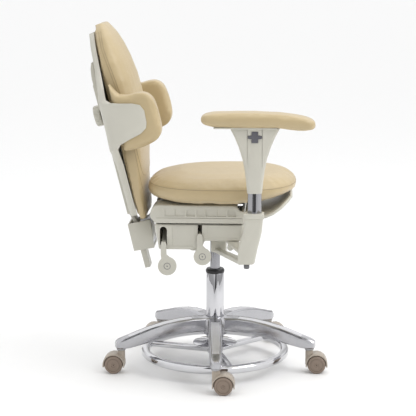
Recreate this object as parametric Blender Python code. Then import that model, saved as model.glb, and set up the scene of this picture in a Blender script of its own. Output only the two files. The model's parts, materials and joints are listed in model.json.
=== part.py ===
"""A dentist's stool: castor base with a foot ring, a gas lift, a tilting winged back and one armrest.

Metres, +Z up, +X is the way the sitter faces. The origin is on the floor, under the middle of the whole
stool; the column stands at COLUMN_X, COLUMN_Y. The stool is modelled about its column and shifted as a
whole at the root.
"""

from math import atan2, cos, pi, radians, sin, sqrt

import bmesh
import bpy
from mathutils import Matrix, Vector

# Place of the column in the stool's own frame
COLUMN_X = 0.0115
COLUMN_Y = 0.0215

# Gaps between pieces
GAP = 0.0003

# Star base
LEG_COUNT = 5
LEG_FIRST_ANGLE = radians(-86.8)
STEM_CIRCLE = 0.2726
HUB_RADIUS = 0.0395
HUB_BOTTOM = 0.088
HUB_TOP = 0.139
SOCKET_BOTTOM = 0.0693

# Castors
WHEEL_RADIUS = 0.025
WHEEL_SIDES = 16
WHEEL_OUTER_FACE = 0.0225
WHEEL_INNER_FACE = 0.0062
CASTOR_TRAIL = 0.020
HOOD_RADIUS = 0.0302
HOOD_HALF_WIDTH = 0.0208
HOOD_HALF_WEB = 0.0056
HOOD_SKIRT = 0.0185
CASTOR_TOP = 0.0636

# Column
TUBE_RADIUS = 0.025
TUBE_BOTTOM = 0.085
TUBE_TOP = 0.263
BUSH_TOP = 0.275
CYLINDER_RADIUS = 0.014
CYLINDER_BOTTOM = 0.130
CYLINDER_TOP = 0.412
ROD_RADIUS = 0.005
ROD_BOTTOM = 0.0797
ROD_TOP = 0.360

# Foot ring
RING_OUTER = 0.2067
RING_WIDTH = 0.0215
RING_LOW = 0.030
RING_HIGH = 0.050
RING_SPOKE_ANGLES = (radians(165), radians(45), radians(-75))
SPIGOT_RADIUS = 0.0095

# Seat mechanism
TRAY_HALF_WIDTH = 0.149
HOUSING_HALF_WIDTH = 0.141
HOUSING_TOP = 0.4265
TRAY_BOTTOM = 0.4300
TRAY_TOP = 0.4790
LEVER_PIVOT_Y = -0.045
LEVER_PIVOT_Z = 0.412
RECLINE_LEVER_X = -0.131
HEIGHT_LEVER_X = -0.034

# Seat
SEAT_REAR = -0.188
SEAT_FRONT = 0.228
SEAT_HALF_WIDTH = 0.208

# Back: everything on it is modelled in a leaning frame whose Z runs up the spine and whose X points forward
LEAN = radians(14.1)
BACK_X = -0.235
BACK_Z = 0.430
RECLINE_X = -0.140
RECLINE_Z = 0.468

# Arm
ARM_X = 0.113
ARM_Y = -0.245
HOUSING_CROWN = 0.479
ARM_PLATE_Z = 0.6993
COLUMN_HALF_WIDTH = 0.018
COLUMN_HALF_DEPTH = 0.010
COLUMN_TOP = 0.655

for old in list(bpy.data.objects):
    bpy.data.objects.remove(old, do_unlink=True)


# ---------------------------------------------------------------- materials

def material(name, colour, roughness, metallic):
    """A Principled material of one colour."""
    made = bpy.data.materials.new(name)
    made.use_nodes = True
    shader = made.node_tree.nodes["Principled BSDF"]
    shader.inputs["Base Color"].default_value = (*colour, 1.0)
    shader.inputs["Roughness"].default_value = roughness
    shader.inputs["Metallic"].default_value = metallic
    made.diffuse_color = (*colour, 1.0)
    return made


POLISHED = ("polished_aluminium", (0.78, 0.78, 0.80), 0.18, 1.0)
CHROME = ("chrome", (0.86, 0.86, 0.88), 0.08, 1.0)
STEEL = ("steel", (0.55, 0.55, 0.57), 0.35, 1.0)
GREY_PLASTIC = ("grey_plastic", (0.56, 0.545, 0.48), 0.45, 0.0)
BLACK_PLASTIC = ("black_plastic", (0.02, 0.02, 0.022), 0.4, 0.0)
DARK_GREY = ("dark_grey_plastic", (0.14, 0.14, 0.16), 0.5, 0.0)
TAUPE = ("taupe_plastic", (0.36, 0.32, 0.27), 0.4, 0.0)
WHEEL = ("wheel_tread", (0.26, 0.205, 0.17), 0.5, 0.0)
LEATHER = ("beige_leatherette", (0.66, 0.53, 0.35), 0.5, 0.0)


# ---------------------------------------------------------------- shapes

def mesh_of(shape, name="shape"):
    """A mesh from a bmesh, with its faces turned outwards."""
    bmesh.ops.recalc_face_normals(shape, faces=shape.faces)
    made = bpy.data.meshes.new(name)
    shape.to_mesh(made)
    shape.free()
    return made


def lofted(rings):
    """A closed body through rings of the same number of points, with flat ends."""
    shape = bmesh.new()
    loops = [[shape.verts.new(point) for point in ring] for ring in rings]
    count = len(loops[0])
    for low, high in zip(loops, loops[1:]):
        for i in range(count):
            j = (i + 1) % count
            shape.faces.new((low[i], low[j], high[j], high[i]))
    shape.faces.new(loops[0][::-1])
    shape.faces.new(loops[-1])
    return mesh_of(shape)


def turned(profile, sides=32, phase=0.0):
    """A body turned round Z. A profile that starts and ends off the axis closes on itself as a ring."""
    shape = bmesh.new()
    rows = []
    for radius, height in profile:
        if radius == 0:
            rows.append([shape.verts.new((0, 0, height))])
            continue
        turns = [phase + 2 * pi * k / sides for k in range(sides)]
        rows.append([shape.verts.new((radius * cos(a), radius * sin(a), height)) for a in turns])
    pairs = list(zip(rows, rows[1:]))
    if profile[0][0] > 0:
        pairs.append((rows[-1], rows[0]))
    for low, high in pairs:
        for i in range(sides):
            j = (i + 1) % sides
            corners = [low[i % len(low)], low[j % len(low)], high[j % len(high)], high[i % len(high)]]
            shape.faces.new(list(dict.fromkeys(corners)))
    return mesh_of(shape)


def extruded(outline, low, high, axis="Y"):
    """A flat outline drawn out along an axis. For X the outline is (y, z), for Y (x, z) and for Z (x, y)."""
    def spot(point, depth):
        u, v = point
        return {"X": (depth, u, v), "Y": (u, depth, v), "Z": (u, v, depth)}[axis]
    return lofted([[spot(point, depth) for point in outline] for depth in (low, high)])


def box(x, y, z):
    """A box from three (low, high) pairs."""
    corners = [(x[0], z[0]), (x[1], z[0]), (x[1], z[1]), (x[0], z[1])]
    return extruded(corners, y[0], y[1], "Y")


def cylinder(radius, low, high, sides=20, axis="Z", centre=(0, 0), phase=0.0):
    """A plain cylinder along an axis, its centre given in the other two coordinates."""
    turns = [phase + 2 * pi * k / sides for k in range(sides)]
    outline = [(centre[0] + radius * cos(a), centre[1] + radius * sin(a)) for a in turns]
    return extruded(outline, low, high, axis)


def bevelled(mesh, width, segments=1, sharpest=radians(35)):
    """The mesh with its sharp edges rounded or chamfered."""
    shape = bmesh.new()
    shape.from_mesh(mesh)
    edges = [e for e in shape.edges if len(e.link_faces) == 2 and e.calc_face_angle() > sharpest]
    bmesh.ops.bevel(shape, geom=edges, offset=width, segments=segments, profile=0.5, affect="EDGES",
                    clamp_overlap=True)
    return mesh_of(shape)


def moved(mesh, shift=(0, 0, 0), turn=0.0, axis="Z"):
    """The mesh turned about an axis through the origin, then shifted."""
    mesh.transform(Matrix.Translation(Vector(shift)) @ Matrix.Rotation(turn, 4, axis))
    return mesh


def boolean(base, tool, operation):
    """The mesh that a Boolean of two closed meshes leaves."""
    first = bpy.data.objects.new("boolean_base", base)
    second = bpy.data.objects.new("boolean_tool", tool)
    for helper in (first, second):
        bpy.context.scene.collection.objects.link(helper)
    modifier = first.modifiers.new("Boolean", "BOOLEAN")
    modifier.operation = operation
    modifier.object = second
    modifier.solver = "EXACT"
    graph = bpy.context.evaluated_depsgraph_get()
    result = bpy.data.meshes.new_from_object(first.evaluated_get(graph))
    for helper in (first, second):
        bpy.data.objects.remove(helper, do_unlink=True)
    return result


def joined(base, *tools):
    for tool in tools:
        base = boolean(base, tool, "UNION")
    return base


def cut(base, *tools):
    for tool in tools:
        base = boolean(base, tool, "DIFFERENCE")
    return base


def arc(centre, radius, start, end, steps):
    """Points along an arc, its ends included; angles in degrees."""
    turns = [radians(start + (end - start) * k / steps) for k in range(steps + 1)]
    return [(centre[0] + radius * cos(a), centre[1] + radius * sin(a)) for a in turns]


def smooth_line(knots, places):
    """Values at the places, along a smooth curve (Catmull-Rom) through (place, value) knots."""
    values = []
    for place in places:
        k = max(i for i in range(len(knots) - 1) if i == 0 or knots[i][0] <= place)
        before = knots[max(k - 1, 0)]
        here, after = knots[k], knots[k + 1]
        beyond = knots[min(k + 2, len(knots) - 1)]
        span = after[0] - here[0]
        f = min(max((place - here[0]) / span, 0.0), 1.0)
        slope_in = (after[1] - before[1]) / (after[0] - before[0]) * span
        slope_out = (beyond[1] - here[1]) / (beyond[0] - here[0]) * span
        values.append(
            (2 * f**3 - 3 * f**2 + 1) * here[1] + (f**3 - 2 * f**2 + f) * slope_in
            + (3 * f**2 - 2 * f**3) * after[1] + (f**3 - f**2) * slope_out
        )
    return values


def rounded_box_outline(half_u, half_v, corner, steps=4, centre=(0, 0)):
    """A rectangle with round corners, anticlockwise."""
    points = []
    for sign_u, sign_v, start in ((1, -1, -90), (1, 1, 0), (-1, 1, 90), (-1, -1, 180)):
        middle = (centre[0] + sign_u * (half_u - corner), centre[1] + sign_v * (half_v - corner))
        points += arc(middle, corner, start, start + 90, steps)
    return points


# ---------------------------------------------------------------- placing

def frame(name, parent, location=(0, 0, 0), rotation=(0, 0, 0)):
    """An empty that carries pieces; it marks a joint or a leaning frame."""
    made = bpy.data.objects.new(name, None)
    made.empty_display_size = 0.03
    made.location = location
    made.rotation_euler = rotation
    made.parent = parent
    bpy.context.scene.collection.objects.link(made)
    return made


def piece(name, mesh, look, parent, location=(0, 0, 0), rotation=(0, 0, 0), smooth=30):
    """One sub-part: its mesh as an object of its own, with its own material."""
    label, colour, roughness, metallic = look
    made = bpy.data.objects.new(name, mesh)
    mesh.name = name
    mesh.materials.clear()
    mesh.materials.append(material(name + "_" + label, colour, roughness, metallic))
    mesh.shade_smooth()
    mesh.set_sharp_from_angle(angle=radians(smooth))
    made.location = location
    made.rotation_euler = rotation
    made.parent = parent
    bpy.context.scene.collection.objects.link(made)
    return made


stool = frame("stool", None, (COLUMN_X, COLUMN_Y, 0))


# ---------------------------------------------------------------- base

def leg_ring(radius, low, high, half_width, turn):
    """Cross-section of a leg at a distance from the column: chamfered shoulders and a sunk top panel."""
    chamfer = 0.005
    panel = half_width - chamfer - 0.0015
    sunk = 0.0009
    across = [
        (-half_width + 0.002, low), (half_width - 0.002, low), (half_width, low + 0.003),
        (half_width, high - chamfer), (half_width - chamfer + 0.001, high), (panel, high),
        (panel - 0.001, high - sunk), (-panel + 0.001, high - sunk), (-panel, high),
        (-half_width + chamfer - 0.001, high), (-half_width, high - chamfer), (-half_width, low + 0.003),
    ]
    c, s = cos(turn), sin(turn)
    return [(radius * c - v * s, radius * s + v * c, z) for v, z in across]


def leg_mesh(turn):
    """One arm of the star: level at the hub, drooping in an arch to the castor socket."""
    rows = [
        (0.030, 0.1000, 0.1375, 0.0195), (0.070, 0.1000, 0.1385, 0.0195), (0.110, 0.0975, 0.1360, 0.0194),
        (0.150, 0.0915, 0.1300, 0.0190), (0.190, 0.0830, 0.1210, 0.0181),
        (0.225, 0.0755, 0.1105, 0.0172), (0.250, 0.0705, 0.1020, 0.0166), (0.266, 0.0693, 0.0975, 0.0160),
        (0.279, 0.0693, 0.0935, 0.0135), (0.287, 0.0700, 0.0890, 0.0100),
    ]
    return lofted([leg_ring(*row, turn) for row in rows])


def star_base():
    hub = turned([
        (0.0253, HUB_BOTTOM), (0.033, HUB_BOTTOM), (0.037, 0.094), (HUB_RADIUS, 0.104),
        (HUB_RADIUS, 0.131), (0.036, 0.136), (0.031, HUB_TOP), (0.0253, HUB_TOP),
    ], 30)
    star = turned([(0, 0.100), (0.036, 0.100), (0.036, 0.136), (0, 0.136)], 30)
    for k in range(LEG_COUNT):
        star = boolean(star, leg_mesh(LEG_FIRST_ANGLE + 2 * pi * k / LEG_COUNT), "UNION")
    star = boolean(star, turned([(0, 0.08), (0.0262, 0.08), (0.0262, 0.16), (0, 0.16)], 30), "DIFFERENCE")
    star = boolean(star, hub, "UNION")
    for x, y in stem_places():
        socket = cylinder(0.0059, 0.050, 0.0885, 12, "Z", (x, y))
        star = boolean(star, socket, "DIFFERENCE")
    piece("star_base", star, POLISHED, stool)


def stem_places():
    turns = [LEG_FIRST_ANGLE + 2 * pi * k / LEG_COUNT for k in range(LEG_COUNT)]
    return [(STEM_CIRCLE * cos(a), STEM_CIRCLE * sin(a)) for a in turns]


def column():
    tube = turned([
        (0.0056, TUBE_BOTTOM), (0.0235, TUBE_BOTTOM), (TUBE_RADIUS, 0.0865), (TUBE_RADIUS, TUBE_TOP),
        (0.0215, TUBE_TOP), (0.0215, 0.0895), (0.0056, 0.0895),
    ], 32)
    piece("outer_tube", tube, CHROME, stool)
    bush = turned([
        (CYLINDER_RADIUS + GAP, 0.180), (0.0211, 0.180), (0.0211, TUBE_TOP + GAP), (0.0252, TUBE_TOP + GAP),
        (0.0262, 0.2655), (0.0262, 0.2705), (0.0235, BUSH_TOP), (CYLINDER_RADIUS + GAP, BUSH_TOP),
    ], 28)
    piece("guide_bush", bush, BLACK_PLASTIC, stool)
    rod = turned([
        (0, ROD_BOTTOM), (ROD_RADIUS, ROD_BOTTOM), (ROD_RADIUS, 0.345), (0.0112, 0.345), (0.0112, ROD_TOP),
        (0, ROD_TOP),
    ], 14)
    piece("piston_rod", rod, STEEL, stool)
    bearing = turned([(0.0056, 0.0898), (0.016, 0.0898), (0.016, 0.0955), (0.0056, 0.0955)], 16)
    piece("thrust_bearing", bearing, STEEL, stool)
    clip = turned([(0.0053, 0.0812), (0.0085, 0.0812), (0.0085, 0.0836), (0.0053, 0.0836)], 14)
    piece("rod_clip", clip, STEEL, stool)
    lift = turned([
        (0.0055, CYLINDER_BOTTOM), (0.0128, CYLINDER_BOTTOM), (CYLINDER_RADIUS, 0.1315),
        (CYLINDER_RADIUS, CYLINDER_TOP), (0.0038, CYLINDER_TOP), (0.0038, 0.404), (0.0116, 0.400),
        (0.0116, 0.146), (0.0055, 0.146),
    ], 28)
    piece("gas_cylinder", lift, CHROME, stool)
    button = turned([(0, 0.4075), (0.0034, 0.4075), (0.0034, 0.4155), (0, 0.4155)], 16)
    piece("valve_button", button, STEEL, stool)


def spring_mesh(radius, wire, low, high, turns):
    """A compression spring: a wire wound round Z between two heights."""
    steps = 10 * turns
    rings = []
    for k in range(steps + 1):
        a = 2 * pi * turns * k / steps
        height = low + wire + (high - low - 2 * wire) * k / steps
        ring = []
        for m in range(5):
            b = -2 * pi * m / 5
            out = radius + wire * cos(b)
            ring.append((out * cos(a), out * sin(a), height + wire * sin(b)))
        rings.append(ring)
    return lofted(rings)


def foot_ring():
    """The ring, its three flat spokes and the boss that slides on the spigot under the hub."""
    inner = RING_OUTER - RING_WIDTH
    soft = 0.004
    ring = turned([
        (inner + soft, RING_LOW), (RING_OUTER - soft, RING_LOW), (RING_OUTER, RING_LOW + soft),
        (RING_OUTER, RING_HIGH - soft), (RING_OUTER - soft, RING_HIGH), (inner + soft, RING_HIGH),
        (inner, RING_HIGH - soft), (inner, RING_LOW + soft),
    ], 48)
    boss = turned([
        (0, RING_LOW), (0.0195, RING_LOW), (0.0215, 0.033), (0.0215, 0.0535), (0.0195, 0.0555), (0, 0.0555),
    ], 20)
    for turn in RING_SPOKE_ANGLES:
        spoke = box((0.010, inner + 0.006), (-0.0115, 0.0115), (0.0335, 0.0465))
        spoke = bevelled(spoke, 0.003)
        boss = boolean(boss, moved(spoke, turn=turn), "UNION")
    whole = boolean(ring, boss, "UNION")
    bore = turned([(0, 0.02), (0.0099, 0.02), (0.0099, 0.07), (0, 0.07)], 20)
    counterbore = turned([(0, 0.02), (0.0165, 0.02), (0.0165, 0.0465), (0, 0.0465)], 20)
    piece("foot_ring", cut(whole, bore, counterbore), POLISHED, stool)
    bell = turned([
        (0.0100, 0.0558), (0.030, 0.0558), (0.058, 0.0572), (0.062, 0.0600), (0.062, 0.0625),
        (0.052, 0.0640),
        (0.036, 0.0665), (0.022, 0.0705), (0.0100, 0.0715),
    ], 30)
    piece("ring_bell", bell, CHROME, stool)
    spigot = turned([
        (0, 0.0182), (SPIGOT_RADIUS, 0.0182), (SPIGOT_RADIUS, 0.0765), (0.024, 0.0765), (0.024, 0.0846),
        (0.0105, 0.0846), (0.0105, 0.0785), (0, 0.0785),
    ], 20)
    piece("ring_spigot", spigot, STEEL, stool)
    nut = turned([(0.0100, 0.0190), (0.0150, 0.0190), (0.0150, 0.0256), (0.0100, 0.0256)], 20)
    piece("ring_nut", nut, STEEL, stool)
    piece("ring_spring", spring_mesh(0.0130, 0.0012, 0.0260, 0.0463, 3), STEEL, stool)


# ---------------------------------------------------------------- castors

def castor_body_mesh():
    """Hood, web and stem boss, about the stem axis with the axle ahead at +X."""
    axle = (CASTOR_TRAIL, WHEEL_RADIUS)
    hood = cylinder(HOOD_RADIUS, -HOOD_HALF_WIDTH, HOOD_HALF_WIDTH, 20, "Y", axle, pi / 20)
    boss = turned([
        (0, 0.022), (0.0108, 0.022), (0.0108, 0.056), (0.0098, CASTOR_TOP), (0, CASTOR_TOP),
    ], 16)
    body = boolean(hood, boss, "UNION")
    for side in (-1, 1):
        low, high = sorted((side * HOOD_HALF_WEB, side * 0.035))
        body = boolean(body, cylinder(0.0272, low, high, 20, "Y", axle, pi / 20), "DIFFERENCE")
    under = box((-0.03, 0.07), (-0.03, 0.03), (-0.02, HOOD_SKIRT))
    stem_bore = cylinder(0.0039, 0.034, 0.07, 10)
    axle_bore = cylinder(0.0036, -0.03, 0.03, 10, "Y", axle)
    return cut(body, under, stem_bore, axle_bore)


def castor_wheels_mesh():
    """Two wheels on one axle, about the axle; a flat of the tread is square to the floor."""
    rim = WHEEL_RADIUS / cos(pi / WHEEL_SIDES)
    half = [
        (0, WHEEL_OUTER_FACE - 0.0012), (0.0165, WHEEL_OUTER_FACE - 0.0012), (0.0178, WHEEL_OUTER_FACE),
        (rim - 0.0030, WHEEL_OUTER_FACE), (rim, WHEEL_OUTER_FACE - 0.0035), (rim, WHEEL_INNER_FACE),
        (0.0030, WHEEL_INNER_FACE),
    ]
    profile = [(r, -y) for r, y in half] + [(r, y) for r, y in reversed(half)]
    wheels = turned(profile, WHEEL_SIDES, pi / WHEEL_SIDES)
    return moved(wheels, turn=-pi / 2, axis="X")


def castor_stem_mesh():
    return turned([
        (0, 0.0345), (0.0035, 0.0345), (0.0035, 0.0641), (0.0125, 0.0641), (0.0125, 0.0682),
        (0.0115, 0.0690),
        (0.0055, 0.0690), (0.0055, 0.0880), (0, 0.0880),
    ], 12)


def castors():
    """Five castors; the two rear-pointing legs carry theirs trailing back, the others forward."""
    body, wheels, stem = castor_body_mesh(), castor_wheels_mesh(), castor_stem_mesh()
    for k, (x, y) in enumerate(stem_places()):
        trail_turn = pi if x < -0.05 else 0.0
        swivel = frame(f"castor_{k + 1}_swivel", stool, (x, y, 0), (0, 0, trail_turn))
        piece(f"castor_{k + 1}_stem", stem.copy(), STEEL, stool, (x, y, 0))
        piece(f"castor_{k + 1}_body", body.copy(), TAUPE, swivel)
        piece(f"castor_{k + 1}_wheels", wheels.copy(), WHEEL, swivel, (CASTOR_TRAIL, 0, WHEEL_RADIUS))


# ---------------------------------------------------------------- seat mechanism

def housing():
    """The lower mechanism cover: an open-topped tub, deeper at the back, with slots for the levers."""
    wall = 0.0035
    def tub(inset, top):
        return [
            (-0.1555 + inset, top), (-0.1445 + inset, 0.357 + inset), (-0.030 - inset, 0.357 + inset),
            (-0.022 - inset, 0.381 + inset), (0.082 - inset, 0.381 + inset), (0.082 - inset, top),
        ]
    half = HOUSING_HALF_WIDTH
    tub_mesh = bevelled(extruded(tub(0, HOUSING_TOP), -half, half), 0.003, 1, radians(60))
    hollow = extruded(tub(wall, HOUSING_TOP + 0.02), -half + wall, half - wall)
    bulge = turned([(0, 0.3475), (0.010, 0.3490), (0.0155, 0.3530), (0.0165, 0.3590), (0, 0.3590)], 24)
    bulge = moved(bulge, (-0.052, -0.105, 0))
    shell = boolean(tub_mesh, bulge, "UNION")
    shell = boolean(shell, hollow, "DIFFERENCE")
    slot_a = [(-0.1415, 0.370), (-0.1225, 0.370)] + arc((-0.132, 0.4095), 0.0095, 0, 180, 8)
    slot_b = [(-0.0400, 0.392), (-0.0285, 0.392), (-0.0285, 0.4245), (-0.0400, 0.4245)]
    for slot in (slot_a, slot_b):
        shell = boolean(shell, extruded(slot, -half - 0.01, -half + 0.02), "DIFFERENCE")
    for side in (-1, 1):
        for low_x, high_x, low_z in ((-0.108, -0.053, 0.366), (-0.014, 0.074, 0.389)):
            low, high = sorted((side * (half - 0.0015), side * (half + 0.01)))
            shell = boolean(shell, box((low_x, high_x), (low, high), (low_z, 0.4195)), "DIFFERENCE")
    shell = boolean(shell, cylinder(0.0165, 0.34, 0.42, 32), "DIFFERENCE")
    for side in (-1, 1):
        ear_notch = box((-0.162, -0.146), sorted((side * 0.0275, side * 0.0355)), (0.4130, 0.430))
        shell = boolean(shell, ear_notch, "DIFFERENCE")
    piece("mechanism_housing", shell, GREY_PLASTIC, stool)


def tray_outline(inset):
    rear, front = -0.167 + inset, 0.0835 - inset
    low, high = TRAY_BOTTOM + inset, TRAY_TOP - inset
    return (
        [(rear + 0.014, low), (front, low), (front, 0.462)]
        + arc((front - 0.030, high - 0.019), 0.019, 20, 90, 3)
        + arc((rear + 0.026, high - 0.026), 0.026, 90, 200, 7)
    )


def seat_tray():
    """The upper cover under the seat: a ribbed band with a rounded rear end, notched for the back's ears."""
    half, wall = TRAY_HALF_WIDTH, 0.005
    band = bevelled(extruded(tray_outline(0), -half, half), 0.003, 2, radians(60))
    hollow = box((-0.148, 0.078), (-half + wall, half - wall), (TRAY_BOTTOM - 0.01, TRAY_TOP - wall))
    tray = boolean(band, hollow, "DIFFERENCE")
    notch = box((-0.190, -0.119), (-0.058, 0.058), (TRAY_BOTTOM - 0.02, TRAY_TOP + 0.02))
    tray = boolean(tray, notch, "DIFFERENCE")
    ribs = (-0.128, -0.1005, -0.0735, -0.0425, -0.0185, 0.0115, 0.0365, 0.0675)
    bosses = (-0.058, 0.052)
    for side in (-1, 1):
        shallow = sorted((side * (half - 0.0024), side * (half + 0.01)))
        deep = sorted((side * (half - 0.0040), side * (half + 0.01)))
        for low_x, high_x in zip(ribs, ribs[1:]):
            if any(low_x < boss < high_x for boss in bosses):
                continue
            pocket = box((low_x + 0.0009, high_x - 0.0009), shallow, (0.4495, 0.4690))
            tray = boolean(tray, pocket, "DIFFERENCE")
        for boss in bosses:
            arch = [(boss - 0.011, 0.4495), (boss + 0.011, 0.4495)] + arc((boss, 0.4585), 0.011, 0, 180, 8)
            tray = boolean(tray, extruded(arch, *deep), "DIFFERENCE")
        groove = box((-0.150, 0.079), shallow, (0.4440, 0.4452))
        tray = boolean(tray, groove, "DIFFERENCE")
    tray = boolean(tray, cylinder(0.0054, -0.075, 0.075, 16, "Y", (RECLINE_X, RECLINE_Z)), "DIFFERENCE")
    piece("seat_tray", tray, GREY_PLASTIC, stool)
    pin = bevelled(cylinder(0.0050, -0.070, 0.070, 20, "Y", (RECLINE_X, RECLINE_Z)), 0.0008, 1, radians(60))
    piece("recline_pin", pin, STEEL, stool)


def chassis():
    """The steel plate under the tray, with the taper socket for the gas cylinder."""
    plate = bevelled(box((-0.112, 0.066), (-0.085, 0.085), (0.4305, 0.4345)), 0.001)
    socket = turned([(0, 0.386), (0.0205, 0.386), (0.0225, 0.390), (0.0225, 0.432), (0, 0.432)], 20)
    plate = boolean(plate, socket, "UNION")
    cheeks = [box((x, x + 0.004), (-0.058, -0.034), (0.404, 0.432)) for x in (-0.105, -0.058, 0.012)]
    for cheek in cheeks:
        plate = boolean(plate, cheek, "UNION")
    bore = turned([
        (0, 0.37), (0.0144, 0.37), (0.0144, 0.4185), (0.006, 0.4185), (0.006, 0.45), (0, 0.45),
    ], 20)
    shaft_bore = cylinder(0.0034, -0.13, 0.07, 14, "X", (LEVER_PIVOT_Y, LEVER_PIVOT_Z))
    piece("chassis_plate", cut(plate, bore, shaft_bore), STEEL, stool)
    shaft = cylinder(0.0030, -0.146, 0.020, 14, "X", (LEVER_PIVOT_Y, LEVER_PIVOT_Z))
    piece("lever_shaft", shaft, STEEL, stool)


def lever(name, x, slot_floor, knob, knob_radius, arm_half):
    """A hanging paddle: hub on the shaft, an arm out through the slot, and a round plate outside."""
    knob_x, knob_z = knob
    out, outer = -0.1465, -0.1525
    hub = cylinder(0.0070, x - 0.009, x + 0.009, 14, "X", (LEVER_PIVOT_Y, LEVER_PIVOT_Z))
    arm_low, arm_high = slot_floor + 0.0012, slot_floor + 0.0092
    arm = extruded([
        (LEVER_PIVOT_Y, LEVER_PIVOT_Z - 0.0045), (LEVER_PIVOT_Y, LEVER_PIVOT_Z + 0.0045),
        (-0.132, arm_high), (outer + 0.001, arm_high), (outer + 0.001, arm_low), (-0.134, arm_low),
    ], x - arm_half, x + arm_half, "X")
    plate = cylinder(knob_radius, outer, out, 28, "Y", (knob_x, knob_z))
    neck_top = arm_high + 0.001
    neck = [
        (knob_x + 0.0150, knob_z + knob_radius - 0.008), (x + 0.0078, knob_z + knob_radius + 0.006),
        (x + 0.0072, neck_top - 0.005), (x + 0.0035, neck_top), (x - 0.0035, neck_top),
        (x - 0.0072, neck_top - 0.005), (x - 0.0078, knob_z + knob_radius + 0.006),
        (knob_x - 0.0150, knob_z + knob_radius - 0.008), (knob_x, knob_z),
    ]
    plate = boolean(plate, extruded(neck, outer, out), "UNION")
    plate = bevelled(plate, 0.0012, 1, radians(60))
    dish = cylinder(knob_radius - 0.006, outer - 0.01, outer + 0.0006, 20, "Y", (knob_x, knob_z))
    plate = boolean(plate, dish, "DIFFERENCE")
    whole = joined(plate, arm, hub)
    bore = cylinder(0.0033, x - 0.03, x + 0.03, 14, "X", (LEVER_PIVOT_Y, LEVER_PIVOT_Z))
    whole = boolean(whole, bore, "DIFFERENCE")
    pivot = Vector((x, LEVER_PIVOT_Y, LEVER_PIVOT_Z))
    piece(name, moved(whole, -pivot), GREY_PLASTIC, stool, pivot)


def levers():
    lever("recline_lever", RECLINE_LEVER_X, 0.370, (-0.1215, 0.3135), 0.0252, 0.0060)
    lever("height_lever", HEIGHT_LEVER_X, 0.392, (-0.0270, 0.3405), 0.0235, 0.0042)


def front_apron():
    """The curved plastic apron that runs on from the tray and rises under the seat's front."""
    path = [
        (0.0880, 0.4610), (0.1020, 0.4520), (0.1200, 0.4470), (0.1400, 0.4480), (0.1600, 0.4560),
        (0.1800, 0.4690), (0.1980, 0.4850), (0.2100, 0.4985),
    ]
    halves = (0.135, 0.140, 0.142, 0.141, 0.136, 0.126, 0.110, 0.096)
    rings = []
    for k, ((x, z), half) in enumerate(zip(path, halves)):
        before, after = path[max(k - 1, 0)], path[min(k + 1, len(path) - 1)]
        run, rise = after[0] - before[0], after[1] - before[1]
        length = sqrt(run * run + rise * rise)
        out_x, out_z = -rise / length * 0.0042, run / length * 0.0042
        low, high = (x - out_x, z - out_z), (x + out_x, z + out_z)
        edge = 0.003
        rings.append([
            (low[0], -half + edge, low[1]), (low[0], half - edge, low[1]), (x, half, z),
            (high[0], half - edge, high[1]), (high[0], -half + edge, high[1]), (x, -half, z),
        ])
    piece("front_apron", lofted(rings), GREY_PLASTIC, stool)


# ---------------------------------------------------------------- seat

def seat_ring(inset, z, front_more=0.0, droop=0.0):
    """An oval of the seat's plan, pulled in by inset.

    front_more pulls the front in further; droop lets the sides and the rear hang lower than the front.
    """
    middle = (SEAT_FRONT + SEAT_REAR) / 2
    half_length = (SEAT_FRONT - SEAT_REAR) / 2 - inset
    half_width = SEAT_HALF_WIDTH - inset
    points = []
    for k in range(36):
        a = 2 * pi * k / 36
        c, s = cos(a), sin(a)
        power = 2 / 2.5
        x = half_length * abs(c) ** power * (1 if c > 0 else -1)
        y = half_width * abs(s) ** power * (1 if s > 0 else -1)
        ahead = max(c, 0.0) ** 2
        points.append((middle + x - front_more * ahead, y, z + 0.004 * c - droop * (1 - ahead)))
    return points


def seat():
    board = bevelled(box((-0.085, 0.100), (-0.105, 0.105), (0.4795, 0.4915)), 0.002)
    piece("seat_board", board, BLACK_PLASTIC, stool)
    rings = [
        seat_ring(0.062, 0.4960, 0.018), seat_ring(0.034, 0.4956, 0.018, 0.0065),
        seat_ring(0.010, 0.5005, 0.010, 0.0055), seat_ring(0.001, 0.5100, 0.0, 0.0030),
        seat_ring(0.0, 0.5210), seat_ring(0.006, 0.5330), seat_ring(0.022, 0.5425), seat_ring(0.050, 0.5495),
    ]
    crown = [(x, y, 0.5550) for x, y, z in seat_ring(0.095, 0.0)]
    piece("seat_cushion", lofted(rings + [crown]), LEATHER, stool)


# ---------------------------------------------------------------- back

def shell_ring(s):
    """A thin U across the back at a height s up the spine: rear wall, round corners and side wings."""
    width = smooth_line([
        (0.0, 0.094), (0.06, 0.113), (0.16, 0.145), (0.205, 0.2038), (0.24, 0.2045), (0.30, 0.2045),
        (0.327, 0.2038), (0.37, 0.142), (0.45, 0.118), (0.49, 0.092), (0.51, 0.068),
    ], [s])[0]
    tip = smooth_line([
        (0.0, 0.0300), (0.195, 0.0400), (0.213, 0.055), (0.229, 0.115), (0.25, 0.131), (0.285, 0.133),
        (0.305, 0.118), (0.322, 0.056), (0.34, 0.0405), (0.50, 0.0395),
    ], [s])[0]
    rear = 0.0100 + 0.030 * s
    wall = 0.004
    corner = min(0.028, tip - rear - 0.006)
    outer = arc((corner - width, rear + corner), corner, 180, 270, 3)
    inner = arc((corner - width, rear + corner), corner - wall, 180, 270, 3)
    outside = [(-width, tip)] + outer + [(0.0, rear)] + [(-y, t) for y, t in reversed(outer)]
    outside += [(width, tip)]
    inside = [(-width + wall, tip)] + inner + [(0.0, rear + wall)] + [(-y, t) for y, t in reversed(inner)]
    inside += [(width - wall, tip)]
    return [(t, y, s) for y, t in outside + inside[::-1]]


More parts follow.
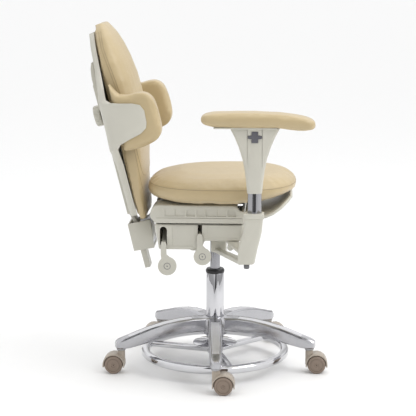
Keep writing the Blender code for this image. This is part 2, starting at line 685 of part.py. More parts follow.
def back_shell(back):
    places = [0.004, 0.08, 0.15, 0.185, 0.200, 0.211, 0.219, 0.227, 0.238, 0.252, 0.283, 0.300,
              0.309, 0.316, 0.323, 0.332, 0.350, 0.41, 0.470, 0.505]
    shell = lofted([shell_ring(s) for s in places])
    knob_hole = cylinder(0.0062, -0.06, 0.08, 16, "X", (0, 0.282))
    piece("back_shell", boolean(shell, knob_hole, "DIFFERENCE"), GREY_PLASTIC, back)


def spine(back):
    """Flat steel bar that carries the back, and the plastic channel that covers it."""
    bar = extruded([
        (0.0035, -0.158), (0.0185, -0.158), (0.0185, -0.030), (0.0088, -0.006), (0.0088, 0.395),
        (-0.0008, 0.395), (-0.0008, 0.000), (0.0035, -0.018),
    ], -0.0235, 0.0235)
    bar = bevelled(bar, 0.001, 1, radians(60))
    knob_hole = cylinder(0.0060, -0.06, 0.08, 16, "X", (0, 0.282))
    piece("back_bar", boolean(bar, knob_hole, "DIFFERENCE"), STEEL, back)
    cover = extruded([
        (-0.0048, 0.002), (0.0092, 0.002), (0.0092, 0.400), (0.0105, 0.430), (0.0050, 0.428),
        (-0.0010, 0.412), (-0.0048, 0.385), (-0.0048, 0.370), (-0.0066, 0.366), (-0.0066, 0.300),
        (-0.0048, 0.296),
    ], -0.034, 0.034)
    channel = box((-0.0015, 0.02), (-0.0245, 0.0245), (-0.02, 0.3975))
    cover = boolean(bevelled(cover, 0.0015, 1, radians(60)), channel, "DIFFERENCE")
    cover = boolean(cover, cylinder(0.0062, -0.06, 0.08, 16, "X", (0, 0.282)), "DIFFERENCE")
    piece("spine_cover", cover, GREY_PLASTIC, back)


def lumbar_knob(back):
    """The round knob behind the spine, about its own axis, its stud reaching through to the lumbar plate."""
    outline = [(0, 0.0225), (0.0045, 0.0225), (0.0045, -0.0010), (0.027, -0.0010), (0.0290, -0.0035),
               (0.0290, -0.0160), (0.0260, -0.0195), (0, -0.0195)]
    knob = turned(outline[::-1], 30)
    for k in range(10):
        a = 2 * pi * k / 10
        flute = cylinder(0.0034, -0.03, -0.0035, 8, "Z", (0.0302 * cos(a), 0.0302 * sin(a)))
        knob = boolean(knob, flute, "DIFFERENCE")
    holder = frame("lumbar_knob_axis", back, (-0.0070, 0, 0.282), (0, pi / 2, 0))
    piece("lumbar_knob", knob, GREY_PLASTIC, holder)


def back_cushion_ring(s):
    """D-shaped section of the back cushion: flat behind, crowned in front."""
    width = smooth_line([(-0.014, 0.088), (0.02, 0.108), (0.10, 0.128), (0.19, 0.140), (0.36, 0.140),
                         (0.44, 0.130), (0.50, 0.098), (0.527, 0.055)], [s])[0]
    edge = smooth_line([(-0.014, 0.046), (0.05, 0.054), (0.19, 0.074), (0.33, 0.074), (0.44, 0.063),
                        (0.527, 0.060)], [s])[0]
    crown = smooth_line([
        (-0.014, 0.050), (0.03, 0.058), (0.08, 0.064), (0.12, 0.077), (0.19, 0.096), (0.32, 0.112),
        (0.40, 0.108), (0.48, 0.090), (0.527, 0.066),
    ], [s])[0]
    rear = smooth_line([(-0.014, 0.0312), (0.19, 0.0412), (0.36, 0.0414), (0.527, 0.0420)], [s])[0]
    front = []
    for k in range(13):
        a = pi * k / 12
        front.append((edge + (crown - edge) * sin(a) ** 0.8 if 0 < k < 12 else edge, width * cos(a)))
    return [(rear, -width + 0.003, s), (rear, width - 0.003, s)] + [(t, y, s) for t, y in front]


def back_cushion(back):
    places = [-0.014, 0.0, 0.03, 0.07, 0.12, 0.17, 0.22, 0.27, 0.32, 0.37, 0.42, 0.46, 0.49, 0.512, 0.527]
    piece("back_cushion", lofted([back_cushion_ring(s) for s in places]), LEATHER, back)


def wing_pad(back, side, name):
    """One upholstered lumbar wing beside the cushion, inside the shell's side wall."""
    outline = (
        [(0.053, 0.190), (0.098, 0.188)] + arc((0.128, 0.232), 0.038, -65, 10, 4)
        + arc((0.128, 0.296), 0.038, 0, 90, 4)
        + [(0.098, 0.3350), (0.076, 0.3410), (0.063, 0.3530), (0.053, 0.3750)]
    )
    low, high = sorted((side * 0.1465, side * 0.1990))
    pad = bevelled(extruded(outline, low, high), 0.006, 2, radians(50))
    piece(name, pad, LEATHER, back)


def back_bracket(tilt):
    """Steel block that holds the bar, with two ears up to the recline pin, and its plastic cover."""
    shift = Vector((BACK_X - RECLINE_X, 0, BACK_Z - RECLINE_Z))
    leaning = frame("bracket_frame", tilt, shift, (0, -LEAN, 0))
    block = box((-0.0030, 0.0470), (-0.0360, 0.0360), (-0.0950, -0.0300))
    block = bevelled(block, 0.002, 1)
    to_pin = Matrix.Rotation(LEAN, 4, "Y") @ -shift
    angle = atan2(to_pin.z + 0.040, to_pin.x - 0.038)
    reach = sqrt((to_pin.z + 0.040) ** 2 + (to_pin.x - 0.038) ** 2)
    for low, high in ((-0.0345, -0.0285), (0.0285, 0.0345)):
        ear = [(0.0, -0.0100)] + arc((reach, 0), 0.0095, -90, 90, 8) + [(0.0, 0.0100)]
        plate = moved(extruded(ear, low, high), turn=-angle, axis="Y")
        plate = moved(plate, (0.038, 0, -0.040))
        block = boolean(block, plate, "UNION")
    slot = box((0.0025, 0.0195), (-0.0245, 0.0245), (-0.12, 0.0))
    pin_bore = cylinder(0.0054, -0.05, 0.05, 16, "Y", (to_pin.x, to_pin.z))
    piece("back_bracket", cut(block, slot, pin_bore), STEEL, leaning)
    outline = [
        (-0.0115, -0.1000), (0.0455, -0.1040), (0.0540, -0.0255), (0.0540, -0.0245), (-0.0100, -0.0235),
    ]
    cover = bevelled(extruded(outline, -0.045, 0.045), 0.003, 2, radians(50))
    hollow = box((-0.0060, 0.0480), (-0.0390, 0.0390), (-0.0965, 0.02))
    bar_way = box((0.0005, 0.0215), (-0.0260, 0.0260), (-0.12, -0.05))
    ear_ways = [box((0.030, 0.070), sorted((y * 0.0272, y * 0.0358)), (-0.052, 0.02)) for y in (-1, 1)]
    piece("bracket_cover", cut(cover, hollow, bar_way, *ear_ways), GREY_PLASTIC, leaning)


def back():
    tilt = frame("recline_axis", stool, (RECLINE_X, 0, RECLINE_Z))
    back_bracket(tilt)
    leaning = frame("back_frame", tilt, (BACK_X - RECLINE_X, 0, BACK_Z - RECLINE_Z), (0, -LEAN, 0))
    back_shell(leaning)
    spine(leaning)
    lumbar_knob(leaning)
    back_cushion(leaning)
    wing_pad(leaning, -1, "wing_pad_right")
    wing_pad(leaning, 1, "wing_pad_left")


# ---------------------------------------------------------------- arm

def arm_bracket():
    """Bent steel bracket from under the mechanism out to the arm's housing."""
    near = -0.2245
    upper = lofted([
        [(x0, y, z - 0.005), (x1, y, z - 0.005), (x1, y, z + 0.005), (x0, y, z + 0.005)]
        for x0, x1, y, z in ((0.026, 0.062, -0.040, 0.3755), (0.040, 0.072, -0.140, 0.3755),
                             (0.074, 0.108, near, 0.3680))
    ])
    lower = lofted([
        [(x0, y, z - 0.006), (x1, y, z - 0.006), (x1, y, z + 0.006), (x0, y, z + 0.006)]
        for x0, x1, y, z in ((-0.006, 0.012, -0.046, 0.3380), (0.072, 0.104, near, 0.3420))
    ])
    nose = bevelled(box((-0.008, 0.034), (-0.064, -0.040), (0.3330, 0.3805)), 0.003)
    boss = cylinder(0.0085, -0.165, -0.120, 18, "Y", (0.048, 0.3690))
    foot = bevelled(box((0.074, 0.108), (near, near + 0.008), (0.3370, 0.3730)), 0.001)
    bracket = joined(bevelled(lower, 0.002), nose, bevelled(upper, 0.002), boss, foot)
    piece("arm_bracket", bracket, GREY_PLASTIC, stool)


def arm_housing():
    """Cast housing for the arm column: upright above, raking back below, with a rim round its top."""
    near, far = -0.2650, -0.2250
    outline = [(0.0740, 0.3450), (0.1110, 0.3450), (0.1145, 0.3500), (0.1215, 0.3850), (0.1325, 0.4310),
               (0.1358, 0.4680), (0.0872, 0.4680), (0.0840, 0.4310), (0.0770, 0.4060), (0.0715, 0.3800),
               (0.0705, 0.3560)]
    body = bevelled(extruded(outline, near, far), 0.005, 2, radians(50))
    rim = bevelled(box((0.0855, 0.1380), (near - 0.0015, far + 0.0002), (0.4650, HOUSING_CROWN)), 0.003, 2)
    body = boolean(body, rim, "UNION")
    bore = cylinder(0.0120, 0.4300, 0.50, 24, "Z", (ARM_X, ARM_Y))
    nut_bore = cylinder(0.0048, 0.330, 0.3605, 14, "Z", (0.0935, ARM_Y))
    body = cut(body, bore, nut_bore)
    for k in range(5):
        x = ARM_X - 0.012 + 0.006 * k
        mark = box((x - 0.0007, x + 0.0007), (near - 0.01, near + 0.0006), (0.4560, 0.4610))
        body = boolean(body, mark, "DIFFERENCE")
    piece("arm_housing", body, GREY_PLASTIC, stool)
    bolt = turned([(0, 0.3312), (0.0062, 0.3312), (0.0075, 0.3330), (0.0075, 0.3445), (0.0045, 0.3445),
                   (0.0045, 0.3600), (0, 0.3600)], 16)
    piece("arm_bolt", moved(bolt, (0.0935, ARM_Y, 0)), CHROME, stool)


def arm_column(swing):
    """Flat-sided chrome column on a round spindle, with a toothed strip let into its near face."""
    half_width, half_depth = COLUMN_HALF_WIDTH, COLUMN_HALF_DEPTH
    outline = rounded_box_outline(half_width, half_depth, half_depth - 0.0005, 5)
    post = extruded(outline, HOUSING_CROWN + 0.0005, COLUMN_TOP, "Z")
    spindle = cylinder(0.0116, 0.4310, HOUSING_CROWN + 0.004, 24)
    groove = box((-0.0038, 0.0038), (-0.02, -half_depth + 0.0035), (HOUSING_CROWN + 0.0035, 0.648))
    piece("arm_column", cut(joined(post, spindle), groove), CHROME, swing)
    strip_depths = (-half_depth + 0.0003, -half_depth + 0.0031)
    strip = box((-0.0034, 0.0034), strip_depths, (HOUSING_CROWN + 0.0040, 0.6475))
    for k in range(8):
        z = 0.575 + 0.009 * k
        notch = box((-0.004, 0.004), (-0.02, -half_depth + 0.0016), (z, z + 0.004))
        strip = boolean(strip, notch, "DIFFERENCE")
    piece("arm_rack", strip, BLACK_PLASTIC, swing)


def sleeve_ring(z, half_width, half_depth):
    corner = half_depth * 0.55
    return [(x, y, z) for x, y in rounded_box_outline(half_width, half_depth, corner, 3)]


def arm_sleeve(swing):
    """Flared grip that slides on the column and spreads to carry the pad; its cross button faces out."""
    rows = ((0.5312, 0.0190, 0.0155), (0.5360, 0.0197, 0.0160), (0.5600, 0.0218, 0.0163),
            (0.5900, 0.0256, 0.0166), (0.6200, 0.0315, 0.0172), (0.6500, 0.0408, 0.0180),
            (0.6750, 0.0512, 0.0188), (0.6990, 0.0635, 0.0200))
    sleeve = lofted([sleeve_ring(*row) for row in rows])
    way = rounded_box_outline(COLUMN_HALF_WIDTH + 0.0005, COLUMN_HALF_DEPTH + 0.0005, COLUMN_HALF_DEPTH, 5)
    sleeve = boolean(sleeve, extruded(way, 0.52, 0.662, "Z"), "DIFFERENCE")
    for x in (-0.0190, 0.0190):
        line = box((x - 0.0005, x + 0.0005), (-0.05, -0.0158), (0.600, 0.71))
        sleeve = boolean(sleeve, line, "DIFFERENCE")
    seat_z = 0.6775
    sleeve = boolean(sleeve, plus_mesh(0.0003, -0.05, -0.0145, seat_z), "DIFFERENCE")
    piece("arm_sleeve", sleeve, GREY_PLASTIC, swing)
    piece("arm_button", bevelled(plus_mesh(0.0, -0.0212, -0.0180, seat_z), 0.0005), DARK_GREY, swing)


def plus_mesh(grow, low, high, z):
    """A plus whose side arms taper outwards."""
    quarter = [(0.0082, 0.0047), (0.0180, 0.0034)]
    tall = 0.0145 + grow
    right = [(quarter[0][0] + grow, -quarter[0][1] - grow), (quarter[1][0] + grow, -quarter[1][1] - grow),
             (quarter[1][0] + grow, quarter[1][1] + grow), (quarter[0][0] + grow, quarter[0][1] + grow)]
    top = [(0.0082 + grow, tall), (-0.0082 - grow, tall)]
    left = [(-x, -y) for x, y in right]
    bottom = [(-x, -y) for x, y in top]
    return extruded([(x, z + y) for x, y in right + top + left + bottom], low, high)


def arm_pad(swing):
    plate = bevelled(box((-0.105, 0.057), (-0.030, 0.030), (ARM_PLATE_Z, 0.7032)), 0.0012)
    piece("pad_plate", plate, GREY_PLASTIC, swing)
    rings = []
    for x, half_width, thick in ((-0.1400, 0.018, 0.012), (-0.1365, 0.028, 0.020), (-0.1280, 0.036, 0.028),
                                 (-0.1100, 0.041, 0.0325), (-0.060, 0.0435, 0.0345), (0.0, 0.044, 0.0350),
                                 (0.060, 0.044, 0.0345), (0.100, 0.043, 0.0330), (0.130, 0.0405, 0.0305),
                                 (0.146, 0.036, 0.0265), (0.1530, 0.028, 0.019), (0.1560, 0.018, 0.011)):
        droop = 0.0135 * max((x - 0.010) / 0.146, 0.0) ** 1.7
        middle = 0.7210 - droop
        ring = rounded_box_outline(half_width, thick / 2, thick / 2 * 0.78, 3)
        rings.append([(x, y, max(middle + z, 0.7036 if x < 0.09 else 0.0)) for y, z in ring])
    piece("arm_pad", lofted(rings), LEATHER, swing)


def arm():
    arm_bracket()
    arm_housing()
    swing = frame("arm_axis", stool, (ARM_X, ARM_Y, 0))
    arm_column(swing)
    arm_sleeve(swing)
    arm_pad(swing)


star_base()
column()
foot_ring()
castors()
housing()
seat_tray()
chassis()
levers()
front_apron()
seat()
back()
arm()
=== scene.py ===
"""Looks of the dentist stool: refined shells, sewn cushions, materials, light and camera."""
import json
from math import cos, pi, radians, sin

import bmesh
import bpy
from mathutils import Matrix, Vector
from mathutils.bvhtree import BVHTree

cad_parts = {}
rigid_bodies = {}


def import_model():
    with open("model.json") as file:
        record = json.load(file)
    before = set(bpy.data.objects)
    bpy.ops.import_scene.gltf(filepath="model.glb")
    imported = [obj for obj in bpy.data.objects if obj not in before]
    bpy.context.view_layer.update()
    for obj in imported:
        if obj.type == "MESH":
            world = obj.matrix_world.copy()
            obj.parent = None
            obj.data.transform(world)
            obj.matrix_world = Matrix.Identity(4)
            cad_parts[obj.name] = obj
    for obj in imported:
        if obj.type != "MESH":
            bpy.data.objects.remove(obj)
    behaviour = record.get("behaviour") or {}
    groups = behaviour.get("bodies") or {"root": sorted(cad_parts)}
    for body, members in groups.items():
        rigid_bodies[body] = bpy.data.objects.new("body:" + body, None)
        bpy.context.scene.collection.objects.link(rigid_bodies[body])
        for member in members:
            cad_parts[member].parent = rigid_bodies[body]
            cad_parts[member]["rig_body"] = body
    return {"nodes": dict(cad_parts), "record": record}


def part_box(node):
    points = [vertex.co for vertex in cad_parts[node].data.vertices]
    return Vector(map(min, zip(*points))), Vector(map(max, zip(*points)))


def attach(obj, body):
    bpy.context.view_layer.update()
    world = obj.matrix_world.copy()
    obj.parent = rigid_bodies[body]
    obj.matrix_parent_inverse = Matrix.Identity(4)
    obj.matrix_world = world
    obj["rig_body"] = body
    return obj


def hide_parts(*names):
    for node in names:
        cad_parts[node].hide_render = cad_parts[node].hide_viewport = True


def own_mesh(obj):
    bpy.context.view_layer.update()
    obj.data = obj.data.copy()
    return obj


# Where the column's axis stands
COLUMN_X = 0.0115
COLUMN_Y = 0.0215

# Castors: the wheel's own sizes, and how many stand round the base
CASTORS = 5
WHEEL_RADIUS = 0.025
WHEEL_OUTER_FACE = 0.0225
WHEEL_INNER_FACE = 0.0062
AXLE_RADIUS = 0.003

# The back's leaning frame, from the column's axis
LEAN = radians(14.1)
BACK_X = -0.235
BACK_Z = 0.430

# Upholstery: the cell of the remesh, the length of the simulation and the pressure inside a pad
VOXEL = 0.0045
SIM_FRAMES = 20
PRESSURE = 4.0

# Seams: the height of the seat's, and the points in each of the back's
SEAT_SEAM_HEIGHT = 0.528
BACK_SEAM_STEPS = 60

# The ring and the dot in a lever's dish
MARK_RADIUS = 0.0085
DOT_RADIUS = 0.0012
MARK_LINE = 0.0006

# The camera, from the column's axis
CAMERA_LENS = 116.7
CAMERA_SENSOR = 36
CAMERA_X, CAMERA_Y, CAMERA_Z = 0.1728, -3.6637, 1.1294
CAMERA_DOWN = 10.57
CAMERA_TURN = 3.01

FLOOR_HALF_WIDTH = 70
SKY_STRENGTH = 1.18

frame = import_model()
nodes = frame["nodes"]
scene = bpy.context.scene
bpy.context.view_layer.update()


# ---------------------------------------------------------------- materials

def noise(tree, coordinates, scale, detail=2.0, roughness=0.5):
    """A noise of so many cells to the metre, over the piece's own coordinates."""
    made = tree.nodes.new("ShaderNodeTexNoise")
    made.inputs["Scale"].default_value = scale
    made.inputs["Detail"].default_value = detail
    made.inputs["Roughness"].default_value = roughness
    tree.links.new(coordinates, made.inputs["Vector"])
    return made.outputs["Fac"]


def ranged(tree, value, low, high):
    """The middle of a noise, stretched from low to high."""
    made = tree.nodes.new("ShaderNodeMapRange")
    made.inputs["From Min"].default_value = 0.3
    made.inputs["From Max"].default_value = 0.7
    made.inputs["To Min"].default_value = low
    made.inputs["To Max"].default_value = high
    tree.links.new(value, made.inputs["Value"])
    return made.outputs["Result"]


def coloured(tree, value, first, second):
    """A colour between the first and the second, by the value."""
    made = tree.nodes.new("ShaderNodeMix")
    made.data_type = "RGBA"
    made.inputs["A"].default_value = (*first, 1)
    made.inputs["B"].default_value = (*second, 1)
    tree.links.new(value, made.inputs["Factor"])
    return made.outputs["Result"]


def material(name, colour, roughness, metallic=0.0, drift=0.05, spread=0.05, grain=None, depth=0.0,
             cells=False, **sockets):
    """A Principled material with a slow drift of colour, a varying gloss and, if asked, a grain."""
    made = bpy.data.materials.new(name)
    made.use_nodes = True
    tree = made.node_tree
    shader = tree.nodes["Principled BSDF"]
    place = tree.nodes.new("ShaderNodeTexCoord").outputs["Object"]
    darker = tuple(c * (1 - drift) for c in colour)
    lighter = tuple(min(c * (1 + drift), 1.0) for c in colour)
    slow = ranged(tree, noise(tree, place, 14, 3), 0, 1)
    tree.links.new(coloured(tree, slow, darker, lighter), shader.inputs["Base Color"])
    gloss = ranged(tree, noise(tree, place, 60, 3), roughness - spread, roughness + spread)
    tree.links.new(gloss, shader.inputs["Roughness"])
    shader.inputs["Metallic"].default_value = metallic
    for socket, value in sockets.items():
        shader.inputs[socket.replace("_", " ")].default_value = value
    if grain:
        bump = tree.nodes.new("ShaderNodeBump")
        bump.inputs["Strength"].default_value = 0.6
        bump.inputs["Distance"].default_value = depth
        if cells:
            pebbles = tree.nodes.new("ShaderNodeTexVoronoi")
            pebbles.feature = "DISTANCE_TO_EDGE"
            pebbles.inputs["Scale"].default_value = grain
            tree.links.new(place, pebbles.inputs["Vector"])
            tree.links.new(pebbles.outputs["Distance"], bump.inputs["Height"])
        else:
            tree.links.new(noise(tree, place, grain, 2), bump.inputs["Height"])
        tree.links.new(bump.outputs["Normal"], shader.inputs["Normal"])
    return made


LEATHER = material("leatherette", (0.50, 0.395, 0.225), 0.42, drift=0.03, spread=0.04, grain=900,
                   depth=0.00025, cells=True, Sheen_Weight=0.12, Coat_Weight=0.06)
PIPING = material("leatherette_piping", (0.36, 0.28, 0.16), 0.42, drift=0.04, grain=1200, depth=0.0001)
GREY = material("grey_plastic", (0.57, 0.555, 0.485), 0.38, drift=0.02, grain=1500, depth=0.00004)
BLACK = material("black_plastic", (0.012, 0.012, 0.014), 0.32, drift=0.2, grain=1300, depth=0.00005)
DARK = material("dark_grey_plastic", (0.10, 0.10, 0.115), 0.42, drift=0.1, grain=1300, depth=0.00005)
HOOD = material("castor_hood", (0.40, 0.345, 0.285), 0.30, drift=0.04, grain=1500, depth=0.00003)
TREAD = material("castor_tread", (0.235, 0.18, 0.14), 0.45, drift=0.06, grain=1100, depth=0.00006)
CHROME = material("chrome", (0.60, 0.60, 0.62), 0.05, 1.0, drift=0.02, spread=0.02)
STEEL = material("zinc_steel", (0.40, 0.40, 0.41), 0.32, 1.0, drift=0.08, spread=0.08, grain=700,
                 depth=0.00003)
POLISHED = material("polished_aluminium", (0.46, 0.46, 0.48), 0.22, 1.0, drift=0.03, spread=0.05, grain=500,
                    depth=0.00003)
BLASTED = material("blasted_aluminium", (0.70, 0.70, 0.72), 0.45, 1.0, drift=0.03, grain=2200, depth=0.00005)
SATIN = material("satin_chrome", (0.33, 0.33, 0.345), 0.14, 1.0, drift=0.03, spread=0.03, grain=900,
                 depth=0.00002)
BURNISHED = material("burnished_steel", (0.17, 0.17, 0.175), 0.34, 1.0, drift=0.08, grain=700, depth=0.00003)
PAINTED = material("painted_steel", (0.55, 0.535, 0.47), 0.36, drift=0.02, grain=1400, depth=0.00004)

LOOKS = {
    "polished_aluminium": POLISHED, "ring_chrome": CHROME, "chrome": CHROME, "steel": STEEL,
    "black_plastic": BLACK, "dark_grey_plastic": DARK, "grey_plastic": GREY, "castor_hood": HOOD,
    "castor_tread": TREAD, "leatherette": LEATHER,
}

# Nodes whose finish differs from the rest of their slot
OWN_LOOKS = {"gas_cylinder": SATIN, "arm_column": SATIN, "arm_bolt": BURNISHED, "back_bar": PAINTED}
SLOTS = {row["node"]: row["material_slot"] for row in frame["record"]["subparts"]}


# ---------------------------------------------------------------- refined shells

def shown(name, mesh, look, body, *stands_for):
    """A new piece: its look, the body it rides on and the CAD nodes it stands for."""
    made = bpy.data.objects.new(name, mesh)
    scene.collection.objects.link(made)
    mesh.materials.clear()
    mesh.materials.append(look)
    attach(made, body)
    if stands_for:
        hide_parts(*stands_for)
    return made


def welded(node):
    """The node's mesh as one connected surface, with its flat faces whole again."""
    shape = bmesh.new()
    shape.from_mesh(nodes[node].data)
    bmesh.ops.remove_doubles(shape, verts=shape.verts, dist=1e-6)
    bmesh.ops.dissolve_limit(shape, angle_limit=radians(0.6), verts=shape.verts, edges=shape.edges)
    return shape


def mesh_from(shape, name):
    """The bmesh as a new mesh; the bmesh is freed."""
    made = bpy.data.meshes.new(name)
    shape.to_mesh(made)
    shape.free()
    return made


def refined(node, edge=0.0008, sharpest=32):
    """The node's own shape with its edges rounded as a moulding's or casting's are."""
    look = OWN_LOOKS.get(node, LOOKS[SLOTS[node]])
    shell = mesh_from(welded(node), node + "_shell")
    made = shown(node + "_shell", shell, look, nodes[node]["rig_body"], node)
    made.data.shade_smooth()
    round_edges = made.modifiers.new("edges", "BEVEL")
    round_edges.width = edge
    round_edges.segments = 2
    round_edges.limit_method = "ANGLE"
    round_edges.angle_limit = radians(sharpest)
    round_edges.harden_normals = True
    round_edges.use_clamp_overlap = True
    return made


def revolved(profile, sides):
    """A smooth solid turned about Z from a closed outline of (radius, height) points."""
    shape = bmesh.new()
    rings = []
    for radius, height in profile:
        turns = [2 * pi * k / sides for k in range(sides)]
        rings.append([shape.verts.new((radius * cos(a), radius * sin(a), height)) for a in turns])
    for low, high in zip(rings, rings[1:] + rings[:1]):
        for k in range(sides):
            nxt = (k + 1) % sides
            shape.faces.new((low[k], low[nxt], high[nxt], high[k]))
    bmesh.ops.recalc_face_normals(shape, faces=shape.faces)
    mesh = mesh_from(shape, "turned")
    mesh.shade_smooth()
    mesh.set_sharp_from_angle(angle=radians(40))
    return mesh


def blasted_panels(base):
    """Gives the sunk top panel of each leg its matt finish."""
    base.data.materials.append(BLASTED)
    for face in base.data.polygons:
        centre = Vector((face.center.x - COLUMN_X, face.center.y - COLUMN_Y))
        if face.normal.z > 0.75 and face.area > 0.0004 and centre.length > 0.045:
            face.material_index = 1


def castor_wheel_mesh():
    """One wheel of the pair, on Z: a disc with a thin ring line and a round-shouldered tread."""
    face, rim = WHEEL_OUTER_FACE, WHEEL_RADIUS
    return revolved([
        (AXLE_RADIUS, WHEEL_INNER_FACE), (rim - 0.001, WHEEL_INNER_FACE), (rim, WHEEL_INNER_FACE + 0.001),
        (rim, face - 0.0040), (rim - 0.0008, face - 0.0018), (rim - 0.0026, face - 0.0003),
        (rim - 0.0050, face),
        (0.0182, face), (0.0178, face - 0.0012), (0.0168, face - 0.0012), (0.0164, face - 0.0002),
        (0.0060, face - 0.0002), (0.0056, face - 0.0010), (0.0042, face - 0.0010), (0.0038, face - 0.0002),
        (0.0012, face),
    ], 64)


def castor_wheels(number):
    """The pair of wheels of one castor, where its CAD wheels are."""
    low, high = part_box(f"castor_{number}_wheels")
    centre = (low + high) / 2
    shape = bmesh.new()
    for turn in (-90, 90):
        half = castor_wheel_mesh()
        half.transform(Matrix.Rotation(radians(turn), 4, "X"))
        shape.from_mesh(half)
    mesh = mesh_from(shape, f"castor_{number}_tyres")
    mesh.transform(Matrix.Translation(Vector((centre.x, centre.y, WHEEL_RADIUS))))
    shown(f"castor_{number}_tyres", mesh, TREAD, f"castor_{number}_roller", f"castor_{number}_wheels")


# ---------------------------------------------------------------- upholstery

def swollen(made, cap):
    """Blows the cover up with Cloth, lets no point go further than the cap, and keeps the result."""
    rest = [v.co.copy() for v in made.data.vertices]
    cloth = made.modifiers.new("Cloth", "CLOTH")
    cloth.settings.quality = 5
    cloth.settings.use_pressure = True
    cloth.settings.uniform_pressure_force = PRESSURE
    cloth.settings.effector_weights.gravity = 0
    cloth.point_cache.frame_end = SIM_FRAMES
    for number in range(1, SIM_FRAMES + 1):
        scene.frame_set(number)
    evaluated = made.evaluated_get(bpy.context.evaluated_depsgraph_get())
    blown = [v.co.copy() for v in evaluated.data.vertices]
    made.modifiers.remove(cloth)
    scene.frame_set(1)
    for vertex, start, end in zip(made.data.vertices, rest, blown):
        step = end - start
        vertex.co = start + (step if step.length <= cap else step.normalized() * cap)


def cushion(node, cap, shrink, smoothing):
    """A padded piece made from the node's solid: remeshed, eased, blown up and subdivided."""
    body = nodes[node]["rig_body"]
    made = shown(node + "_cover", mesh_from(welded(node), node + "_cover"), LEATHER, body, node)
    remesh = made.modifiers.new("Remesh", "REMESH")
    remesh.mode = "VOXEL"
    remesh.voxel_size = VOXEL
    ease = made.modifiers.new("Ease", "SMOOTH")
    ease.factor = 0.5
    ease.iterations = smoothing
    evaluated = made.evaluated_get(bpy.context.evaluated_depsgraph_get())
    made.data = bpy.data.meshes.new_from_object(evaluated)
    made.modifiers.clear()
    for vertex, normal in zip(made.data.vertices, [v.normal.copy() for v in made.data.vertices]):
        vertex.co = vertex.co - normal * shrink
    swollen(made, cap)
    made.data.shade_smooth()
    finer = made.modifiers.new("Finer", "SUBSURF")
    finer.levels = finer.render_levels = 1
    return made


def drawn(name, points, radius, resolution, look, closed=False):
    """A new round line through the points."""
    curve = bpy.data.curves.new(name, "CURVE")
    curve.dimensions = "3D"
    curve.bevel_depth = radius
    curve.bevel_resolution = resolution
    line = curve.splines.new("POLY")
    line.points.add(len(points) - 1)
    for target, point in zip(line.points, points):
        target.co = (*point, 1)
    line.use_cyclic_u = closed
    curve.materials.append(look)
    made = bpy.data.objects.new(name, curve)
    scene.collection.objects.link(made)
    return made


def seam(name, cover, starts, inward, radius=0.0010, closed=True, look=PIPING):
    """A piped seam laid where rays from outside meet the cover."""
    corners = [v.co for v in cover.data.vertices]
    tree = BVHTree.FromPolygons(corners, [p.vertices for p in cover.data.polygons])
    points = []
    for start, direction in zip(starts, inward):
        hit = tree.ray_cast(Vector(start), Vector(direction).normalized(), 0.5)[0]
        if hit is not None:
            points.append(hit)
    made = drawn(name, points, radius, 3, look, closed)
    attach(made, cover["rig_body"])


def belt(cover, height, turns=220):
    """Ray starts and directions for a seam that runs round a cushion at one height."""
    low = Vector([min(v.co[i] for v in cover.data.vertices) for i in range(3)])
    high = Vector([max(v.co[i] for v in cover.data.vertices) for i in range(3)])
    centre = (low + high) / 2
    reach = (high - low).length
    around = [2 * pi * k / turns for k in range(turns)]
    starts = [(centre.x + reach / 2 * cos(a), centre.y + reach / 2 * sin(a), height) for a in around]
    return starts, [(-cos(a), -sin(a), 0) for a in around]


def on_the_back(along, out, side):
    """A point in the back's leaning frame: up the spine, forward of it, and to the sitter's left."""
    up = Vector((-sin(LEAN), 0, cos(LEAN)))
    forward = Vector((cos(LEAN), 0, sin(LEAN)))
    return Vector((BACK_X + COLUMN_X, COLUMN_Y + side, BACK_Z)) + up * along + forward * out


def back_seams(cover):
    """On each side of the back cushion, two piped seams and a thick welt at its rear edge."""
    for side, word in ((-1, "right"), (1, "left")):
        for offset, number in ((0.0, 1), (0.006, 2)):
            climb = [0.004 + 0.500 * k / BACK_SEAM_STEPS for k in range(BACK_SEAM_STEPS + 1)]
            depth = [0.054 + 0.020 * sin(pi * min(s / 0.46, 1.0)) + offset for s in climb]
            starts = [on_the_back(s, t, side * 0.25) for s, t in zip(climb, depth)]
            seam(f"back_seam_{word}_{number}", cover, starts, [(0, -side, 0)] * len(starts), 0.0008, False)
        climb = [0.006 + 0.510 * k / BACK_SEAM_STEPS for k in range(BACK_SEAM_STEPS + 1)]
        starts = [on_the_back(s, 0.0325 + 0.010 * min(s / 0.19, 1.0), side * 0.25) for s in climb]
        seam(f"back_welt_{word}", cover, starts, [(0, -side, 0)] * len(starts), 0.0030, False, LEATHER)


def stroke(name, points, radius, look, body):
    """A fine raised line through the points, as a moulded mark."""
    made = drawn(name, points, radius, 2, look)
    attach(made, body)


def lever_mark(node, knob_x, knob_z):
    """A plain raised ring with a dot in it, in the dish of a lever."""
    centre = Vector((knob_x + COLUMN_X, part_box(node)[0].y + 0.0004, knob_z))
    turns = [2 * pi * k / 32 for k in range(33)]
    for part, radius in (("ring", MARK_RADIUS), ("dot", DOT_RADIUS)):
        points = [centre + Vector((radius * cos(a), 0, radius * sin(a))) for a in turns]
        stroke(f"{node}_mark_{part}", points, MARK_LINE, DARK, nodes[node]["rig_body"])


# ---------------------------------------------------------------- the stool

for node, slot in SLOTS.items():
    if slot != "leatherette" and not node.endswith("_wheels"):
        refined(node, edge=0.0012 if slot in ("grey_plastic", "castor_hood") else 0.0006)
blasted_panels(bpy.data.objects["star_base_shell"])
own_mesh(bpy.data.objects["ring_spring_shell"])
for number in range(1, CASTORS + 1):
    castor_wheels(number)

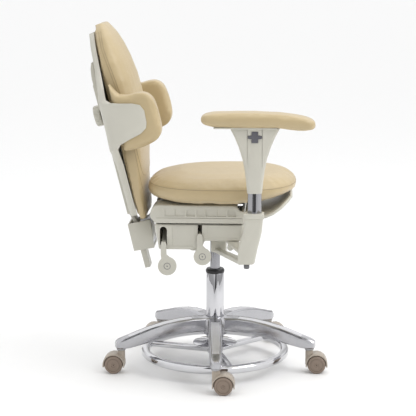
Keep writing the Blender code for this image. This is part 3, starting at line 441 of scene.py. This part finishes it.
seat_cover = cushion("seat_cushion", cap=0.004, shrink=0.001, smoothing=5)
back_cover = cushion("back_cushion", cap=0.003, shrink=0.0005, smoothing=2)
for side in ("left", "right"):
    cushion("wing_pad_" + side, cap=0.003, shrink=0.001, smoothing=2)
cushion("arm_pad", cap=0.003, shrink=0.001, smoothing=2)
seam("seat_seam", seat_cover, *belt(seat_cover, SEAT_SEAM_HEIGHT))
back_seams(back_cover)
lever_mark("recline_lever", -0.1215, 0.3135)
lever_mark("height_lever", -0.0270, 0.3405)


# ---------------------------------------------------------------- camera, light and floor

camera = bpy.data.objects.new("camera", bpy.data.cameras.new("camera"))
camera.data.lens = CAMERA_LENS
camera.data.sensor_width = CAMERA_SENSOR
camera.location = (CAMERA_X + COLUMN_X, CAMERA_Y + COLUMN_Y, CAMERA_Z)
camera.rotation_euler = (radians(90 - CAMERA_DOWN), 0, radians(CAMERA_TURN))
scene.collection.objects.link(camera)
scene.camera = camera

floor_shape = bmesh.new()
bmesh.ops.create_grid(floor_shape, x_segments=4, y_segments=4, size=FLOOR_HALF_WIDTH)
floor = bpy.data.objects.new("floor", mesh_from(floor_shape, "floor"))
floor.data.materials.append(material("floor", (0.92, 0.92, 0.92), 0.6, drift=0.004, spread=0.02))
scene.collection.objects.link(floor)


def softbox(name, location, target, size, power):
    """A rectangular area light turned to its target."""
    light = bpy.data.lights.new(name, "AREA")
    light.shape = "RECTANGLE"
    light.size, light.size_y = size
    light.energy = power
    made = bpy.data.objects.new(name, light)
    made.location = location
    made.rotation_euler = (Vector(target) - Vector(location)).to_track_quat("-Z", "Y").to_euler()
    scene.collection.objects.link(made)


softbox("key", (2.0, -0.7, 2.4), (0, 0, 0.5), (1.4, 1.4), 26)
softbox("top", (0.4, 0.3, 3.0), (0, 0, 0), (2.0, 2.0), 12)


def graded(tree, value, low, high, start=0.0, end=1.0):
    """The value's own range, low to high, as a smooth step from start to end."""
    made = tree.nodes.new("ShaderNodeMapRange")
    made.interpolation_type = "SMOOTHSTEP"
    for socket, number in (("From Min", low), ("From Max", high), ("To Min", start), ("To Max", end)):
        made.inputs[socket].default_value = number
    tree.links.new(value, made.inputs["Value"])
    return made.outputs["Result"]


def combined(tree, operation, first, second):
    """Two values joined by one Math operation."""
    made = tree.nodes.new("ShaderNodeMath")
    made.operation = operation
    tree.links.new(first, made.inputs[0])
    tree.links.new(second, made.inputs[1])
    return made.outputs["Value"]


def studio_world():
    """A pale surround: white overhead, grey low down, and a black strip for a dark core in plating."""
    world = bpy.data.worlds.new("studio")
    world.use_nodes = True
    tree = world.node_tree
    parts = tree.nodes.new("ShaderNodeSeparateXYZ")
    tree.links.new(tree.nodes.new("ShaderNodeTexCoord").outputs["Generated"], parts.inputs["Vector"])
    across = tree.nodes.new("ShaderNodeMath")
    across.operation = "ABSOLUTE"
    tree.links.new(parts.outputs["X"], across.inputs[0])
    beside = graded(tree, across.outputs["Value"], 0.12, 0.15)
    behind = graded(tree, parts.outputs["Y"], -0.25, 0.0)
    clear = combined(tree, "MAXIMUM", beside, behind)
    low_down = graded(tree, parts.outputs["Z"], 0.05, 0.45, 0.38, 1.0)
    bright = combined(tree, "MULTIPLY", clear, low_down)
    sky = coloured(tree, bright, (0.01, 0.01, 0.012), (1.0, 1.0, 1.0))
    tree.links.new(sky, tree.nodes["Background"].inputs["Color"])
    tree.nodes["Background"].inputs["Strength"].default_value = SKY_STRENGTH
    scene.world = world


studio_world()
scene.view_settings.view_transform = "Standard"
